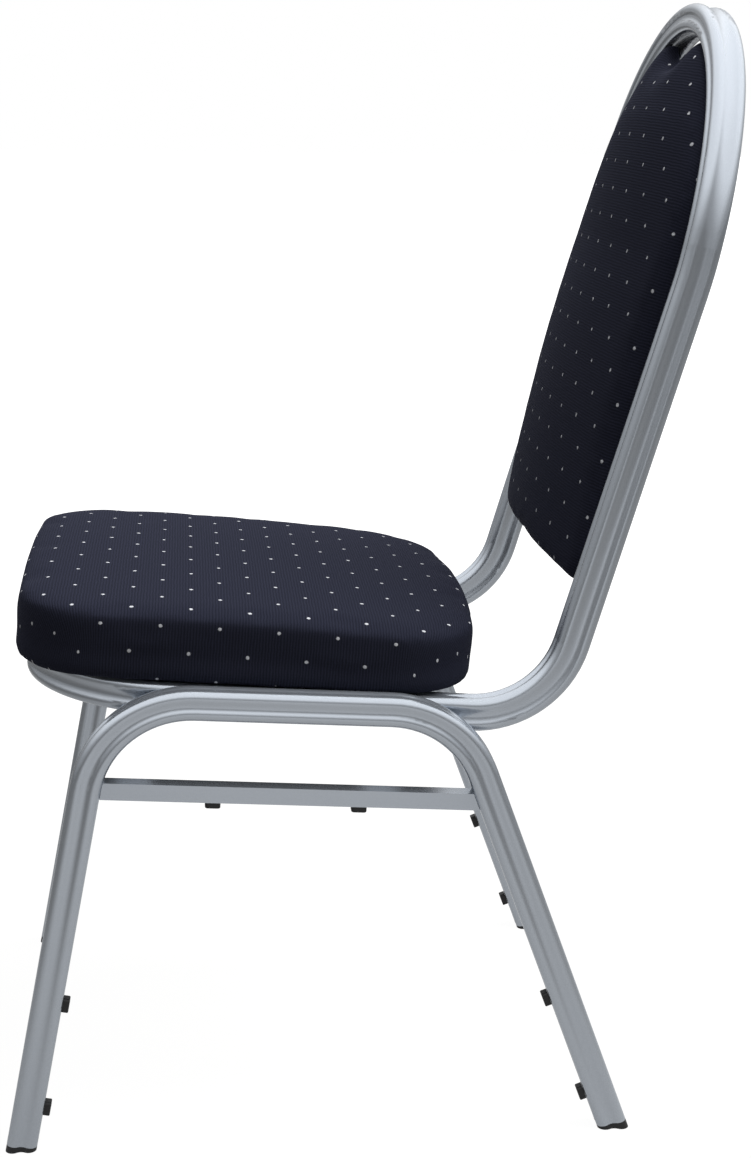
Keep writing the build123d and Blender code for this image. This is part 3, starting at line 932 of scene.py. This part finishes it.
@dataclass
class Studio:
    """Floor, light and the camera at the photograph's angle.

    Attributes:
        eye: Where the camera is; yaw, pitch and roll say how it is turned.
        floor_tone: Colour of the floor's paper, which lights the chair from below.
        floor_glow: White that the camera sees over the paper.
        near_share: Share of that white by the chair, where the paper keeps its shadow.
        white_span: From where to where that share grows to 1.
        mirror_share: Share of the white that reflections see.
        mirror_dim: What is left of it far to the front and the rear.
        mirror_strip: From where to where it dims.
        horizon_level: Light of the sky on the chair at the horizon; zenith_level overhead.
        mirror_sky: Levels of the sky in reflections, low down and high up.
        mirror_band: Heights between which these change.
    """

    eye: tuple[float, float, float] = (1.671, -0.1485, 0.849)
    yaw: float = radians(5.70)
    pitch: float = radians(13.96)
    roll: float = radians(-0.68)
    focal_px: float = 1929.0
    image_px: tuple[int, int] = (751, 1158)
    sensor_mm: float = 36.0
    clip_end: float = 200.0
    floor_half: float = 30.0
    floor_tone: str = "#8A8885"
    floor_glow: float = 1.35
    near_share: float = 0.72
    white_span: Span = (0.5, 2.0)
    mirror_share: float = 0.55
    mirror_dim: float = 0.15
    mirror_strip: Span = (0.15, 1.1)
    key_place: tuple[float, float, float] = (0.1, 1.1, 2.6)
    key_aim: tuple[float, float, float] = (0.0, 0.0, 0.5)
    key_size: float = 2.2
    key_watts: float = 76.0
    horizon_level: float = 0.05
    zenith_level: float = 0.50
    mirror_sky: Span = (0.42, 1.4)
    mirror_band: Span = (0.15, 0.55)

    def build(self) -> None:
        """Set up everything that isn't the chair."""
        self._camera()
        self._floor()
        self._world()
        self._lights()
        bpy.context.scene.view_settings.view_transform = "Standard"

    def _camera(self) -> None:
        """Place the camera where the photograph was taken from."""
        ahead = Vector((
            -cos(self.yaw) * cos(self.pitch), sin(self.yaw) * cos(self.pitch), -sin(self.pitch),
        ))
        level = Vector((sin(self.yaw), cos(self.yaw), 0))
        down = ahead.cross(level)
        right = level * cos(self.roll) + down * sin(self.roll)
        below = down * cos(self.roll) - level * sin(self.roll)
        lens = bpy.data.cameras.new("camera")
        lens.sensor_width = self.sensor_mm
        lens.lens = self.focal_px * self.sensor_mm / max(self.image_px)
        lens.clip_end = self.clip_end
        camera = bpy.data.objects.new("camera", lens)
        turned = Matrix((right, -below, -ahead)).transposed().to_4x4()
        camera.matrix_world = Matrix.Translation(self.eye) @ turned
        bpy.context.scene.collection.objects.link(camera)
        bpy.context.scene.camera = camera

    def _floor(self) -> None:
        """Lay a pale floor that keeps the chair's shadow, and is clear from below."""
        mesh = bpy.data.meshes.new("floor")
        work = bmesh.new()
        bmesh.ops.create_grid(work, x_segments=1, y_segments=1, size=self.floor_half)
        work.to_mesh(mesh)
        work.free()
        floor = bpy.data.objects.new("floor", mesh)
        bpy.context.scene.collection.objects.link(floor)
        material, tree = new_material("white_paper_floor")
        place = object_place(tree)
        away = vector_maths(tree, "LENGTH", place)
        white = ramp(tree, away, self.white_span, (self.near_share, 1.0))
        seen = maths(tree, "MULTIPLY", self._seen(tree, place), white)
        paper = add_node(tree, "ShaderNodeBsdfDiffuse", None, Color=colour(self.floor_tone))
        glow = add_node(tree, "ShaderNodeEmission", None, Color=WHITE, Strength=self.floor_glow)
        top = add_node(tree, "ShaderNodeMixShader", None, i0=seen, i1=paper.outputs[0], i2=glow.outputs[0])
        below = add_node(tree, "ShaderNodeNewGeometry").outputs["Backfacing"]
        clear = add_node(tree, "ShaderNodeBsdfTransparent")
        sheet = add_node(tree, "ShaderNodeMixShader", None, i0=below, i1=top.outputs[0],
                         i2=clear.outputs[0])
        add_node(tree, "ShaderNodeOutputMaterial", None, Surface=sheet.outputs[0])
        mesh.materials.append(material)

    def _seen(self, tree: Tree, place: Socket) -> Socket:
        """How white the floor is to a ray.

        Args:
            tree: The floor's node tree.
            place: The place on the floor.

        Returns:
            A socket that is 1 for rays from the camera, and less for reflections and refractions, which
            see a bright strip beside the chair, so that the flutes of its tubes show.
        """
        path = add_node(tree, "ShaderNodeLightPath")
        y = add_node(tree, "ShaderNodeSeparateXYZ", None, i0=place).outputs["Y"]
        strip = ramp(tree, maths(tree, "ABSOLUTE", y), self.mirror_strip, (1.0, self.mirror_dim))
        softer = maths(tree, "MULTIPLY", self._mirrored(tree, path), self.mirror_share)
        dimmer = maths(tree, "MULTIPLY", softer, strip)
        return maths(tree, "MAXIMUM", dimmer, path.outputs["Is Camera Ray"])

    def _mirrored(self, tree: Tree, path: bpy.types.Node) -> Socket:
        """A socket that is 1 for reflections and refractions."""
        return maths(tree, "MAXIMUM", path.outputs["Is Glossy Ray"], path.outputs["Is Transmission Ray"])

    def _world(self) -> None:
        """White behind the chair, a soft dome of light on it, and a brighter one in its reflections."""
        world = bpy.data.worlds.new("studio")
        bpy.context.scene.world = world
        world.use_nodes = True
        tree = world.node_tree
        tree.nodes.clear()
        ahead = add_node(tree, "ShaderNodeTexCoord").outputs["Generated"]
        height = add_node(tree, "ShaderNodeSeparateXYZ", None, i0=ahead).outputs["Z"]
        path = add_node(tree, "ShaderNodeLightPath")
        dome = ramp(tree, height, target=(self.horizon_level, self.zenith_level))
        mirror = ramp(tree, height, self.mirror_band, self.mirror_sky)
        light = ramp(tree, self._mirrored(tree, path), target=(dome, mirror))
        level = ramp(tree, path.outputs["Is Camera Ray"], target=(light, 1.0))
        sky = add_node(tree, "ShaderNodeBackground", None, Color=WHITE, Strength=level)
        add_node(tree, "ShaderNodeOutputWorld", None, Surface=sky.outputs[0])

    def _lights(self) -> None:
        """Hang a large soft box over the chair, out of sight of its reflections."""
        data = bpy.data.lights.new("overhead_box", "AREA")
        data.size = self.key_size
        data.energy = self.key_watts
        lamp = bpy.data.objects.new("overhead_box", data)
        lamp.location = self.key_place
        aim = Vector(self.key_aim) - lamp.location
        lamp.rotation_euler = aim.to_track_quat("-Z", "Y").to_euler()
        lamp.visible_glossy = False
        bpy.context.scene.collection.objects.link(lamp)


def main() -> None:
    """Build and dress the chair, then the studio round it."""
    logging.basicConfig(level=logging.INFO, format="%(name)s: %(message)s")
    for group in (TubeFrame(), PlasticFittings(), HiddenPieces()):
        group.dress()
    cloth = PinDotCloth().material()
    for cushion in (SeatCushion(), BackCushion(), RearPanel()):
        cushion.build(cloth)
    Studio().build()


if __name__ == "__main__":
    main()
